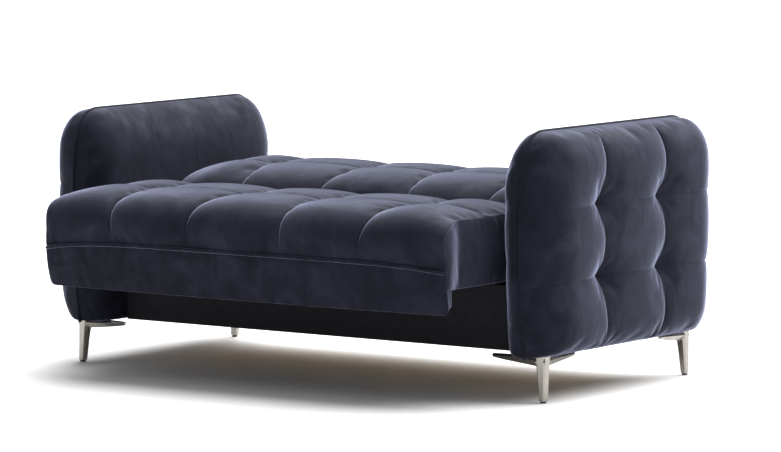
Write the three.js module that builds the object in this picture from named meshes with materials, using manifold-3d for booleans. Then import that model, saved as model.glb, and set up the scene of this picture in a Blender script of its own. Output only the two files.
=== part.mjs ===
// Two-seat velvet sofa bed with a click-clack fold, shown opened out as a bed.
// Millimetres, +Z up, -Y to the front, and +X to the right as seen from the front.
// The seat and the back lie flat between two padded arms.  Raising the back draws the seat
// in over the storage box, and the seat also lifts at the front to open that box.

import * as THREE from 'three';
import { mergeVertices } from 'three/addons/utils/BufferGeometryUtils.js';
import Module from 'manifold-3d';

const wasm = await Module();
wasm.setup();

// ---- driving dimensions -------------------------------------------------------------

const GAP = 0.3;                    // air between two pieces that touch
const FEET_Y = 120;                 // centre of the four feet, behind the middle of the opened bed

// feet and legs
const FOOT_X = 780;                 // outer corner of each foot from the centre line
const FOOT_Y = 366;                 // outer corner of each foot from the feet centre
const GLIDE_H = 5;
const GLIDE_R = 8;
const LEG_FOOT = 20;                // side of the leg where it stands
const LEG_HEAD = 33;                // side of the leg under the arm
const LEG_FLAT = 5;                 // narrow flat down the outer ridge
const LEG_ARM_X = 165;              // reach of the bracket along the front
const LEG_ARM_Y = 150;              // reach of the bracket along the side
const LEG_ARM_ROOT = 25;            // depth of a bracket arm beside the leg
const LEG_ARM_TIP = 10;
const BODY_Z = 122.5;               // underside of the arms and the storage box

// arms
const ARM_IN = 655;                 // inner face
const ARM_WELT = 742;               // plane of the welt, where the two covers meet
const ARM_OUT = 845;                // fullest point of the outer cover
const ARM_TOP = 712;
const ARM_HALF = 430;               // half the depth at the fullest height
const ARM_FOOT = 405;               // half the depth at the bottom
const ARM_CORNER = 95;              // rounding of the top corners
const ARM_RINGS = 5;
const CORE_IN = 690;                // timber frame inside the arm
const CORE_OUT = 760;
const CORE_HALF = 330;
const CORE_TOP = 655;
const POST = 42;                    // timber section seen from the side

// storage box
const BOX_HALF = 654.7;
const BOX_FRONT = -300;
const BOX_REAR = 330;
const BOX_TOP = 295;
const BOX_REAR_TOP = 366;           // the rear panel also carries the flat back
const BOARD = 16;
const FLOOR_T = 6;

// fold
const PIVOT_Y = -135;
const PIVOT_Z = 470;
const EYE_R = 14;
const PIN_R = 5;
const PIN_CLEAR = 0.3;
const PIN_HEAD_R = 9;
const PIN_HEAD_T = 3;
const PLATE = 4;                    // thickness of the hinge plates
const UPRIGHT_X = 587.1;            // inner face of each plate, from the centre line
const BACK_ARM_X = 591.4;
const SEAT_ARM_X = 595.7;
const UPRIGHT_FOOT = 65;            // half the length of the upright's foot on the runner
const ARM_FOOT_Y = 78;              // reach of each hinge arm along its frame rail
const SPACE = 18;                   // seat and back each stop this far from the pivot

// slides
const RUN_Y0 = -262;                // front end of the runner when the bed is open
const RUN_Y1 = 30;
const RUN_Z0 = 254.5;
const RUN_Z1 = 285.5;
const RUN_OUT = 629.7;
const CHANNEL_IN = 606;
const CHANNEL_T = 3;
const CHANNEL_Z0 = 250;
const CHANNEL_Z1 = 290;
const CROSS_R = 10;
const CROSS_Z = 332;

// seat
const SEAT_HALF = 640;
const SEAT_FRONT = -670;
const SEAT_REAR = PIVOT_Y - SPACE;
const SEAT_BASE = 310;              // underside of the seat frame
const SEAT_DECK = 364.3;
const SEAT_TOP = 512;
const LIP_Z = 250;                  // bottom of the border that hangs in front
const BORDER_T = 34;
const FRONT_RAIL_W = 22;
const SEAT_ROUND = 100;

// back
const BACK_FRONT = PIVOT_Y + SPACE;
const BACK_END = 380;
const BACK_BASE = 387;
const BACK_DECK = 430.3;
const BACK_TOP = 545;
const BACK_ROUND = 110;

// shared by both frames
const RAIL_OUT = 630;
const RAIL_W = 45;
const PANEL_T = 8;
const LINING_T = 2;

// ---- materials ----------------------------------------------------------------------

const paint = (color, roughness, metalness = 0) =>
  () => new THREE.MeshStandardMaterial({ color, roughness, metalness });

const velvet = paint(0x3a3d4f, 0.95);
const boxCloth = paint(0x17171c, 0.95);
const lining = paint(0x202024, 1.0);
const timber = paint(0xc2a374, 0.75);
const plywood = paint(0xb99563, 0.8);
const satinNickel = paint(0xb4b0aa, 0.28, 1.0);
const zincSteel = paint(0x8f9296, 0.45, 1.0);
const nylon = paint(0x2a2a2c, 0.6);

// ---- helpers ------------------------------------------------------------------------

const root = new THREE.Group();
root.position.y = FEET_Y;

function add(name, geometry, material) {
  const mesh = new THREE.Mesh(geometry, material());
  mesh.name = name;
  root.add(mesh);
  return mesh;
}

// A block between two corners.
function block(name, low, high, material) {
  const size = high.map((v, i) => v - low[i]);
  const mesh = add(name, new THREE.BoxGeometry(...size), material);
  mesh.position.set(...high.map((v, i) => (v + low[i]) / 2));
  return mesh;
}

// The same span on the left (-1) or the right (+1), given as distances from the centre line.
function span(side, near, far) {
  return side > 0 ? [near, far] : [-far, -near];
}

function sideBlock(name, side, xs, ys, zs, material) {
  const [x0, x1] = span(side, ...xs);
  return block(name, [x0, ys[0], zs[0]], [x1, ys[1], zs[1]], material);
}

// A shape drawn in (y, z) and extruded along +X from x0 to x1.
function extrudeAcross(shape, x0, x1, curveSegments = 12) {
  const geometry = new THREE.ExtrudeGeometry(shape, {
    depth: x1 - x0, bevelEnabled: false, curveSegments,
  });
  const across = new THREE.Matrix4().makeBasis(
    new THREE.Vector3(0, 1, 0), new THREE.Vector3(0, 0, 1), new THREE.Vector3(1, 0, 0),
  );
  geometry.applyMatrix4(across);
  geometry.translate(x0, 0, 0);
  return geometry;
}

function cylinderAcross(radius, x0, x1, y, z, sides = 20) {
  const geometry = new THREE.CylinderGeometry(radius, radius, x1 - x0, sides);
  geometry.rotateZ(Math.PI / 2);
  geometry.translate((x0 + x1) / 2, y, z);
  return geometry;
}

// A closed skin through rings of equal length, capped flat at both ends.
function loft(rings) {
  const n = rings[0].length;
  const positions = rings.flat().flatMap((p) => [p.x, p.y, p.z]);
  const faces = [];
  for (let r = 0; r + 1 < rings.length; r += 1) {
    for (let i = 0; i < n; i += 1) {
      const a = r * n + i;
      const b = r * n + ((i + 1) % n);
      faces.push(a, b, a + n, b, b + n, a + n);
    }
  }
  const last = (rings.length - 1) * n;
  for (let i = 1; i + 1 < n; i += 1) {
    faces.push(0, i + 1, i);
    faces.push(last, last + i, last + i + 1);
  }
  const geometry = new THREE.BufferGeometry();
  geometry.setAttribute('position', new THREE.Float32BufferAttribute(positions, 3));
  geometry.setIndex(signedVolume(positions, faces) < 0 ? faces.reverse() : faces);
  geometry.computeVertexNormals();
  return geometry;
}

function signedVolume(positions, faces) {
  const corner = (i) => new THREE.Vector3().fromArray(positions, 3 * faces[i]);
  let sum = 0;
  for (let i = 0; i < faces.length; i += 3) {
    sum += corner(i).dot(corner(i + 1).cross(corner(i + 2)));
  }
  return sum / 6;
}

function toManifold(geometry) {
  const bare = geometry.clone();
  for (const name of Object.keys(bare.attributes)) {
    if (name !== 'position') bare.deleteAttribute(name);
  }
  const merged = mergeVertices(bare, 1e-3);
  return new wasm.Manifold(new wasm.Mesh({
    numProp: 3,
    vertProperties: new Float32Array(merged.attributes.position.array),
    triVerts: new Uint32Array(merged.index.array),
  }));
}

function fromManifold(solid) {
  const mesh = solid.getMesh();
  const geometry = new THREE.BufferGeometry();
  geometry.setAttribute('position', new THREE.BufferAttribute(mesh.vertProperties, 3));
  geometry.setIndex(new THREE.BufferAttribute(mesh.triVerts, 1));
  geometry.computeVertexNormals();
  return geometry;
}

function cut(geometry, ...tools) {
  return fromManifold(tools.reduce((s, t) => s.subtract(toManifold(t)), toManifold(geometry)));
}

function join(...geometries) {
  return fromManifold(geometries.map(toManifold).reduce((a, b) => a.add(b)));
}

function blockGeometry(low, high) {
  const geometry = new THREE.BoxGeometry(...high.map((v, i) => v - low[i]));
  geometry.translate(...high.map((v, i) => (v + low[i]) / 2));
  return geometry;
}

const sideName = (side) => (side > 0 ? 'right' : 'left');
const endName = (end) => (end > 0 ? 'rear' : 'front');

// ---- legs ---------------------------------------------------------------------------

// A square with one corner on the leg's outer ridge, its other sides running inwards.
function legSquare(sx, sy, size, z) {
  const x = sx * FOOT_X;
  const y = sy * FOOT_Y;
  const bevel = size * 0.2;
  const inner = size - bevel;
  return [
    [LEG_FLAT, 0], [inner, 0], [size, bevel], [size, inner], [inner, size], [bevel, size], [0, inner],
    [0, LEG_FLAT],
  ].map(([u, v]) => new THREE.Vector3(x - sx * u, y - sy * v, z));
}

// A bracket arm: a bar that thins towards its tip, flat under the body and keeled on its outer face.
function bracketArm(sx, sy, alongX, reach) {
  const top = BODY_Z - GAP;
  const ring = (distance, depth, width) => {
    const corner = (w, z) => {
      const inward = alongX ? [distance, w] : [w, distance];
      return new THREE.Vector3(sx * (FOOT_X - inward[0]), sy * (FOOT_Y - inward[1]), z);
    };
    return [
      corner(3, top), corner(width, top), corner(width, top - depth * 0.5),
      corner(width * 0.35, top - depth), corner(0, top - depth * 0.38),
    ];
  };
  return loft([
    ring(2, LEG_ARM_ROOT + 8, LEG_HEAD - 2),
    ring(LEG_HEAD + 6, LEG_ARM_ROOT, LEG_HEAD - 6),
    ring(reach * 0.75, LEG_ARM_TIP + 6, LEG_HEAD * 0.62),
    ring(reach, LEG_ARM_TIP, LEG_HEAD * 0.35),
  ]);
}

function leg(sx, sy) {
  const name = `${endName(sy)}_${sideName(sx)}`;
  const post = loft([
    legSquare(sx, sy, LEG_FOOT, GLIDE_H + GAP),
    legSquare(sx, sy, (LEG_FOOT + LEG_HEAD) / 2, BODY_Z * 0.6),
    legSquare(sx, sy, LEG_HEAD, BODY_Z - GAP),
  ]);
  add(`leg_${name}`, join(
    post,
    bracketArm(sx, sy, true, LEG_ARM_X),
    bracketArm(sx, sy, false, LEG_ARM_Y),
  ), satinNickel);

  const glide = add(`foot_glide_${name}`,
    new THREE.CylinderGeometry(GLIDE_R, GLIDE_R, GLIDE_H, 20), nylon);
  glide.rotation.x = Math.PI / 2;
  const inset = LEG_FOOT / 2;
  glide.position.set(sx * (FOOT_X - inset), sy * (FOOT_Y - inset), GLIDE_H / 2);
}

// ---- arms ---------------------------------------------------------------------------

// Side outline of the arm in (y, z): a barrel that narrows to its foot, with rounded top corners.
function armOutline() {
  const shoulder = ARM_TOP - ARM_CORNER;
  const shape = new THREE.Shape();
  shape.moveTo(-ARM_FOOT, BODY_Z);
  shape.lineTo(ARM_FOOT, BODY_Z);
  shape.bezierCurveTo(ARM_FOOT + 20, 230, ARM_HALF, 330, ARM_HALF, 430);
  shape.bezierCurveTo(ARM_HALF, 520, ARM_HALF - 4, shoulder - 30, ARM_HALF - 12, shoulder);
  shape.bezierCurveTo(ARM_HALF - 25, ARM_TOP - 25, ARM_HALF - 60, ARM_TOP, ARM_HALF - 110, ARM_TOP);
  shape.lineTo(-(ARM_HALF - 110), ARM_TOP);
  shape.bezierCurveTo(-(ARM_HALF - 60), ARM_TOP, -(ARM_HALF - 25), ARM_TOP - 25,
    -(ARM_HALF - 12), shoulder);
  shape.bezierCurveTo(-(ARM_HALF - 4), shoulder - 30, -ARM_HALF, 520, -ARM_HALF, 430);
  shape.bezierCurveTo(-ARM_HALF, 330, -(ARM_FOOT + 20), 230, -ARM_FOOT, BODY_Z);
  const points = shape.getPoints(7);
  points.pop();
  return points;
}

// One half of the arm's padding, from the welt plane out to a face that is drawn in at its edges.
function armPad(side, xWelt, xFace, inset, insetFoot) {
  const outline = armOutline();
  const height = ARM_TOP - BODY_Z;
  const rings = [];
  for (let k = 0; k < ARM_RINGS; k += 1) {
    const t = Math.sin((k / (ARM_RINGS - 1)) * Math.PI / 2);
    const draw = 1 - Math.cos((k / (ARM_RINGS - 1)) * Math.PI / 2);
    const dy = 1 - (inset * draw) / ARM_HALF;
    const foot = insetFoot * draw;
    const dz = (height - inset * draw - foot) / height;
    const x = side * (xWelt + (xFace - xWelt) * t);
    rings.push(outline.map((p) => new THREE.Vector3(
      x, p.x * dy, BODY_Z + foot + (p.y - BODY_Z) * dz,
    )));
  }
  return loft(rings);
}

// Bolts that hold the arm to the storage box.
const ARM_BOLT = { r: 5, head: 9, headT: 5, z: 146, ys: [-235, 265] };

function boltHole(side, y) {
  return cylinderAcross(ARM_BOLT.r + GAP, ...span(side, 600, CORE_OUT - 10), y, ARM_BOLT.z);
}

function arm(side) {
  const s = sideName(side);
  const holes = () => ARM_BOLT.ys.map((y) => boltHole(side, y));
  const [cx0, cx1] = span(side, CORE_IN - GAP, CORE_OUT + GAP);
  const cavity = blockGeometry(
    [cx0, -CORE_HALF - GAP, BODY_Z - 1], [cx1, CORE_HALF + GAP, CORE_TOP + GAP],
  );
  add(`arm_${s}_inner_pad`,
    cut(armPad(side, ARM_WELT - GAP / 2, ARM_IN, 48, 0), cavity, ...holes()), velvet);
  add(`arm_${s}_outer_pad`, cut(armPad(side, ARM_WELT + GAP / 2, ARM_OUT, 62, 55), cavity), velvet);

  const foot = BODY_Z + GAP;
  for (const end of [-1, 1]) {
    const near = end * (CORE_HALF - POST);
    const far = end * CORE_HALF;
    sideBlock(`arm_${s}_${endName(end)}_post`, side, [CORE_IN, CORE_OUT],
      [Math.min(near, far), Math.max(near, far)], [foot, CORE_TOP], timber);
  }
  const between = CORE_HALF - POST - GAP;
  sideBlock(`arm_${s}_top_rail`, side, [CORE_IN, CORE_OUT], [-between, between],
    [CORE_TOP - POST, CORE_TOP], timber);
  const [x0, x1] = span(side, CORE_IN, CORE_OUT);
  const bottomRail = blockGeometry([x0, -between, foot], [x1, between, foot + POST]);
  add(`arm_${s}_bottom_rail`, cut(bottomRail, ...holes()), timber);

  for (const end of [-1, 1]) {
    const y = ARM_BOLT.ys[end < 0 ? 0 : 1];
    const inner = BOX_HALF - BOARD - GAP;
    const shank = cylinderAcross(ARM_BOLT.r, ...span(side, inner - 1, CORE_OUT - 12), y, ARM_BOLT.z);
    const head = cylinderAcross(
      ARM_BOLT.head, ...span(side, inner - ARM_BOLT.headT, inner), y, ARM_BOLT.z, 6,
    );
    add(`arm_bolt_${endName(end)}_${s}`, join(shank, head), zincSteel);
  }
}

// ---- storage box --------------------------------------------------------------------

function storageBox() {
  const top = BOX_TOP;
  block('box_front_panel', [-BOX_HALF, BOX_FRONT, BODY_Z], [BOX_HALF, BOX_FRONT + BOARD, top], boxCloth);
  block('box_rear_panel', [-BOX_HALF, BOX_REAR - BOARD, BODY_Z],
    [BOX_HALF, BOX_REAR, BOX_REAR_TOP], boxCloth);
  const y0 = BOX_FRONT + BOARD + GAP;
  const y1 = BOX_REAR - BOARD - GAP;
  for (const side of [-1, 1]) {
    const [x0, x1] = span(side, BOX_HALF - BOARD, BOX_HALF);
    const board = blockGeometry([x0, y0, BODY_Z], [x1, y1, top]);
    add(`box_${sideName(side)}_panel`,
      cut(board, ...ARM_BOLT.ys.map((y) => boltHole(side, y))), boxCloth);
  }
  const inside = BOX_HALF - BOARD - GAP;
  block('box_floor', [-inside, y0, BODY_Z], [inside, y1, BODY_Z + FLOOR_T], plywood);
}

// ---- fold mechanism -----------------------------------------------------------------

// A plate with an eye at the pivot and a neck that drops between seat and back to its foot.
// The foot's corners run from the front of the neck round to its rear.
function hingePlate(side, x, foot) {
  const shape = new THREE.Shape();
  shape.moveTo(PIVOT_Y - EYE_R, PIVOT_Z);
  foot.forEach(([y, z]) => shape.lineTo(PIVOT_Y + y, z));
  shape.lineTo(PIVOT_Y + EYE_R, PIVOT_Z);
  shape.absarc(PIVOT_Y, PIVOT_Z, EYE_R, 0, Math.PI, false);
  const hole = new THREE.Path();
  hole.absarc(PIVOT_Y, PIVOT_Z, PIN_R + PIN_CLEAR, 0, Math.PI * 2, true);
  shape.holes.push(hole);
  return extrudeAcross(shape, ...span(side, x, x + PLATE), 16);
}

function mechanism(side) {
  const s = sideName(side);

  const z0 = CHANNEL_Z0;
  const z1 = CHANNEL_Z1;
  const web = BOX_HALF - BOARD - GAP;
  const [wx0, wx1] = span(side, web - CHANNEL_T, web);
  const [fx0, fx1] = span(side, CHANNEL_IN, web);
  const y0 = BOX_FRONT + BOARD + 4;
  const y1 = BOX_REAR - BOARD - 4;
  add(`slide_channel_${s}`, join(
    blockGeometry([wx0, y0, z0], [wx1, y1, z1]),
    blockGeometry([fx0, y0, z0], [fx1, y1, z0 + CHANNEL_T]),
    blockGeometry([fx0, y0, z1 - CHANNEL_T], [fx1, y1, z1]),
  ), zincSteel);

  sideBlock(`slide_runner_${s}`, side, [UPRIGHT_X + PLATE + GAP, RUN_OUT], [RUN_Y0, RUN_Y1],
    [RUN_Z0, RUN_Z1], zincSteel);

  const shelf = BOX_TOP + 5;
  add(`hinge_upright_${s}`, hingePlate(side, UPRIGHT_X, [
    [-EYE_R, shelf], [-UPRIGHT_FOOT, shelf], [-UPRIGHT_FOOT, RUN_Z0],
    [UPRIGHT_FOOT, RUN_Z0], [UPRIGHT_FOOT, shelf], [EYE_R, shelf],
  ]), zincSteel);

  const seatTop = SEAT_DECK - GAP;
  add(`seat_hinge_arm_${s}`, hingePlate(side, SEAT_ARM_X, [
    [-EYE_R, seatTop], [-ARM_FOOT_Y, seatTop], [-ARM_FOOT_Y, SEAT_BASE], [EYE_R, SEAT_BASE],
  ]), zincSteel);

  const backTop = BACK_DECK - GAP;
  add(`back_hinge_arm_${s}`, hingePlate(side, BACK_ARM_X, [
    [-EYE_R, BACK_BASE], [ARM_FOOT_Y, BACK_BASE], [ARM_FOOT_Y, backTop], [EYE_R, backTop],
  ]), zincSteel);

  const inner = UPRIGHT_X - GAP;
  const outer = SEAT_ARM_X + PLATE + GAP;
  add(`pivot_pin_${s}`, join(
    cylinderAcross(PIN_R, ...span(side, inner - 1, outer + 1), PIVOT_Y, PIVOT_Z),
    cylinderAcross(PIN_HEAD_R, ...span(side, inner - PIN_HEAD_T, inner), PIVOT_Y, PIVOT_Z),
    cylinderAcross(PIN_HEAD_R, ...span(side, outer, outer + PIN_HEAD_T), PIVOT_Y, PIVOT_Z),
  ), zincSteel);
}

function crossTube() {
  const reach = UPRIGHT_X - GAP;
  add('cross_tube', cylinderAcross(CROSS_R, -reach, reach, PIVOT_Y, CROSS_Z, 24), zincSteel);
}

// ---- seat ---------------------------------------------------------------------------

function seat() {
  const railTop = SEAT_DECK - GAP;
  const borderFront = SEAT_FRONT + 6;
  const frontRail = borderFront + BORDER_T + GAP;
  const frame = frontRail + FRONT_RAIL_W + GAP;
  block('seat_front_rail', [-RAIL_OUT, frontRail, LIP_Z + 35], [RAIL_OUT, frame - GAP, railTop],
    timber);
  for (const side of [-1, 1]) {
    sideBlock(`seat_${sideName(side)}_rail`, side, [SEAT_ARM_X + PLATE + GAP, RAIL_OUT],
      [frame, SEAT_REAR], [SEAT_BASE, railTop], timber);
  }
  const inside = SEAT_ARM_X + PLATE;
  const crossRear = PIVOT_Y - 80;
  block('seat_rear_rail', [-inside, crossRear - RAIL_W, SEAT_BASE], [inside, crossRear, railTop], timber);
  const midY = (frame + crossRear - RAIL_W) / 2;
  block('seat_middle_rail', [-inside, midY - RAIL_W / 2, SEAT_BASE], [inside, midY + RAIL_W / 2, railTop],
    timber);
  block('seat_deck', [-RAIL_OUT, frontRail, SEAT_DECK], [RAIL_OUT, SEAT_REAR, SEAT_DECK + PANEL_T],
    plywood);
  block('seat_lining', [-RAIL_OUT + 2, frame + 2, SEAT_BASE - GAP - LINING_T],
    [RAIL_OUT - 2, SEAT_REAR - 2, SEAT_BASE - GAP], lining);
  block('seat_front_border', [-SEAT_HALF, borderFront, LIP_Z],
    [SEAT_HALF, borderFront + BORDER_T, SEAT_DECK + PANEL_T], velvet);

  const base = SEAT_DECK + PANEL_T + GAP;
  const shape = new THREE.Shape();
  shape.moveTo(SEAT_FRONT + 4, base);
  shape.lineTo(SEAT_REAR, base);
  shape.lineTo(SEAT_REAR, SEAT_TOP - SEAT_ROUND);
  shape.absarc(SEAT_REAR - SEAT_ROUND, SEAT_TOP - SEAT_ROUND, SEAT_ROUND, 0, Math.PI / 2, false);
  shape.lineTo(SEAT_FRONT + 240, SEAT_TOP);
  shape.bezierCurveTo(SEAT_FRONT + 60, SEAT_TOP - 3, SEAT_FRONT, SEAT_TOP - 20, SEAT_FRONT, base + 70);
  shape.lineTo(SEAT_FRONT + 4, base);
  add('seat_cushion', extrudeAcross(shape, -SEAT_HALF, SEAT_HALF, 10), velvet);
}

// ---- back ---------------------------------------------------------------------------

function back() {
  const railTop = BACK_DECK - GAP;
  const end = BACK_END - 12;
  for (const side of [-1, 1]) {
    sideBlock(`back_${sideName(side)}_rail`, side, [BACK_ARM_X + PLATE + GAP, RAIL_OUT],
      [BACK_FRONT, end - RAIL_W - GAP], [BACK_BASE, railTop], timber);
  }
  const inside = BACK_ARM_X + PLATE;
  const crossFront = PIVOT_Y + 80;
  block('back_lower_rail', [-inside, crossFront, BACK_BASE], [inside, crossFront + RAIL_W, railTop], timber);
  block('back_top_rail', [-RAIL_OUT, end - RAIL_W, BACK_BASE], [RAIL_OUT, end, railTop], timber);
  const midY = (crossFront + RAIL_W + end - RAIL_W) / 2;
  block('back_middle_rail', [-inside, midY - RAIL_W / 2, BACK_BASE], [inside, midY + RAIL_W / 2, railTop],
    timber);
  block('back_deck', [-RAIL_OUT, BACK_FRONT, BACK_DECK], [RAIL_OUT, end, BACK_DECK + PANEL_T], plywood);
  block('back_lining', [-RAIL_OUT + 2, BACK_FRONT + 2, BACK_BASE - GAP - LINING_T],
    [RAIL_OUT - 2, end - 2, BACK_BASE - GAP], lining);

  const base = BACK_DECK + PANEL_T + GAP;
  const radius = BACK_ROUND;
  const shape = new THREE.Shape();
  shape.moveTo(BACK_FRONT, base);
  shape.lineTo(BACK_END - 6, base);
  shape.bezierCurveTo(BACK_END, base + 30, BACK_END, BACK_TOP - 4, BACK_END - 110, BACK_TOP);
  shape.lineTo(BACK_FRONT + radius, BACK_TOP);
  shape.absarc(BACK_FRONT + radius, BACK_TOP - radius, radius, Math.PI / 2,
    Math.PI - Math.asin(Math.max(0, base - BACK_TOP + radius) / radius), false);
  shape.lineTo(BACK_FRONT, base);
  add('back_cushion', extrudeAcross(shape, -SEAT_HALF, SEAT_HALF, 10), velvet);
}

// ---- assembly -----------------------------------------------------------------------

for (const sx of [-1, 1]) {
  for (const sy of [-1, 1]) leg(sx, sy);
  arm(sx);
  mechanism(sx);
}
storageBox();
crossTube();
seat();
back();

const model = new THREE.Group();
model.add(root);

export default model;
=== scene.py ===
"""Upholstery and finishes of a two-seat velvet sofa bed, opened out flat, built round its frame.

Everything is in metres.  +Z is up, -Y is the front of the opened bed, +X is right seen from there.
"""

import math

import bmesh
import bpy
import numpy as np
from bpy.props import FloatProperty, FloatVectorProperty, IntProperty, PointerProperty
from bpy.types import Operator, Panel, PropertyGroup
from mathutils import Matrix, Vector


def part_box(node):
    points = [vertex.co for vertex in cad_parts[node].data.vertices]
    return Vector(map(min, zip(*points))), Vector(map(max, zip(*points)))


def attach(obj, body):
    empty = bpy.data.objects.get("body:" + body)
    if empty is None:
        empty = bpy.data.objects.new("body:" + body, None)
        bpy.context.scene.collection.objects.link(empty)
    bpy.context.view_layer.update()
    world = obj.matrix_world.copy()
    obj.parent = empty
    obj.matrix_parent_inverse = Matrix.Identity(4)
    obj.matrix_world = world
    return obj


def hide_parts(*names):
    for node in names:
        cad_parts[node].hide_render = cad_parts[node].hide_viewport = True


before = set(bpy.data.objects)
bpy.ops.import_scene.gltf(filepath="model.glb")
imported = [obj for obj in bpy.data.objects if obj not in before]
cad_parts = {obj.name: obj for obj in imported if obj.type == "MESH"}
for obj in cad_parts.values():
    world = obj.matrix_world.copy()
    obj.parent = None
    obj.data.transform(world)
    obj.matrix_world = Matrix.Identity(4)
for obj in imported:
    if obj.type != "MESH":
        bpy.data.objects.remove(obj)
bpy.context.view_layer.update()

bl_info = {
    "name": "Velvet Sofa Bed",
    "version": (1, 0, 0),
    "blender": (4, 5, 0),
    "location": "View3D > Sidebar > Sofa Bed",
    "description": "Covers a click-clack sofa bed in channelled velvet and finishes its frame",
    "category": "Add Mesh",
}

SIDES = (("left", -1), ("right", 1))
ENDS = ("front", "rear")

# Seat: shapes measured from the corners of its cushion's box.
SEAT_SEAM_X = ((-0.405, -0.167, 0.144, 0.377), (-0.4425, -0.1275, 0.1275, 0.4425),
               (-0.400, -0.155, 0.155, 0.400))        # at the front, tufts, rear
SEAT_TUFT_Y = 0.240                   # tuft row behind the front of the seat
SEAT_BASE_Z = 0.3105                  # where the cover folds under the frame
SEAT_FLARE = 0.026                    # share by which the seat widens in front of the arms
SEAT_BOW = 0.018                      # how far the seat's front edge bows between its corners
BACK_SEAM_X = ((-0.402, -0.155, 0.155, 0.402), (-0.4425, -0.1275, 0.1275, 0.4425),
               (-0.400, -0.155, 0.155, 0.400))
BACK_TUFT_Y = 0.234                   # tuft row behind the front of the back
BACK_BASE_Z = 0.3875
SIDE_BULGE = 0.003                    # swell of a seat's or back's plain sides
HEM_FOLD = 0.006                      # radius of the fold at the bottom of the sides
COVER_OUT = 0.0020                    # how far a cover stands outside its foam

# Border under the seat's front edge.
PIPING_Z = 0.3765
BORDER_TOP_Z = 0.375
BORDER_CORNER = 0.012                 # radius of its two bottom corners
BORDER_LEAN = 0.016                   # how far its bottom leans back
BORDER_SWELL = {0.01: 0.0003, 0.03: 0.0012, 0.10: 0.002, 0.25: 0.001}   # by share of its depth

# Arms: tuft grid on the outer face.
ARM_TUFT_Y = 0.150
ARM_TUFT_Z = (0.325, 0.515)
ARM_PUFF = 0.010                      # how far the squares between the tufts stand over their seams
ARM_TUCK = 0.008                      # how far a cover dips into the welt's groove

# Stage.
SOFTBOX_TOWARD = (0.14, 0.62, 1.0)    # above and behind
AIM_X, AIM_Z = 0.034, 0.398           # the camera's target, over the middle of the four legs


# ---- colour and nodes ------------------------------------------------------------------

def linear(code):
    """Scene-linear colour, with alpha, of an sRGB hex value."""
    parts = [int(code[k:k + 2], 16) / 255 for k in (1, 3, 5)]
    return [p / 12.92 if p <= 0.04045 else ((p + 0.055) / 1.055) ** 2.4 for p in parts] + [1.0]


def shade(colour, factor):
    """A lighter or darker version of a linear colour."""
    return [min(1.0, c * factor) for c in colour[:3]] + [1.0]


def add_node(tree, kind, inputs=(), **settings):
    """Adds a node with its settings, and fills its sockets with values or links."""
    made = tree.nodes.new(kind)
    for name, value in settings.items():
        setattr(made, name, value)
    for socket, value in dict(inputs).items():
        if isinstance(value, bpy.types.NodeSocket):
            tree.links.new(value, made.inputs[socket])
        else:
            made.inputs[socket].default_value = value
    return made


def blank_material(name):
    """An empty node tree, with the object's own coordinates in metres."""
    material = bpy.data.materials.new(name)
    material.use_nodes = True
    tree = material.node_tree
    tree.nodes.clear()
    place = add_node(tree, "ShaderNodeTexCoord").outputs["Object"]
    return material, tree, place


def surfaced(material, tree, **inputs):
    """Ends a material with one Principled shader; an underscore stands for a space in a socket."""
    sockets = {name.replace("_", " "): value for name, value in inputs.items()}
    shader = add_node(tree, "ShaderNodeBsdfPrincipled", sockets)
    add_node(tree, "ShaderNodeOutputMaterial", {"Surface": shader.outputs["BSDF"]})
    return material


def ramp(tree, factor, stops):
    """A colour ramp through (position, colour) stops."""
    made = add_node(tree, "ShaderNodeValToRGB", {"Fac": factor})
    bar = made.color_ramp.elements
    while len(bar) < len(stops):
        bar.new(0.5)
    for stop, (position, colour) in zip(bar, stops):
        stop.position = position
        stop.color = colour
    return made.outputs["Color"]


def tones(tree, factor, colour, *stops):
    """A ramp through (position, factor) stops that shade one colour."""
    return ramp(tree, factor, [(position, shade(colour, level)) for position, level in stops])


def noise(tree, place, size, detail, **more):
    """Noise with features of one size in metres."""
    return add_node(tree, "ShaderNodeTexNoise", {
        "Vector": place, "Scale": 1 / size, "Detail": detail, **more}).outputs["Fac"]


def stretched(tree, place, *sizes):
    """Coordinates that make noise of size 1 as large as the sizes along X, Y and Z."""
    return add_node(tree, "ShaderNodeMapping", {
        "Vector": place, "Scale": [1 / size for size in sizes]}).outputs["Vector"]


def bump(tree, height, strength, distance, **more):
    """A normal bent by a height that stands for a distance in metres."""
    return add_node(tree, "ShaderNodeBump", {
        "Height": height, "Strength": strength, "Distance": distance, **more}).outputs["Normal"]


def remap(tree, value, low, high, start, end):
    """A value's range from low to high laid over start to end."""
    return add_node(tree, "ShaderNodeMapRange", {
        "Value": value, "From Min": low, "From Max": high, "To Min": start, "To Max": end,
    }).outputs["Result"]


def grey(level):
    """A neutral colour of one linear level."""
    return (level, level, level, 1.0)


# ---- materials -------------------------------------------------------------------------

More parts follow.
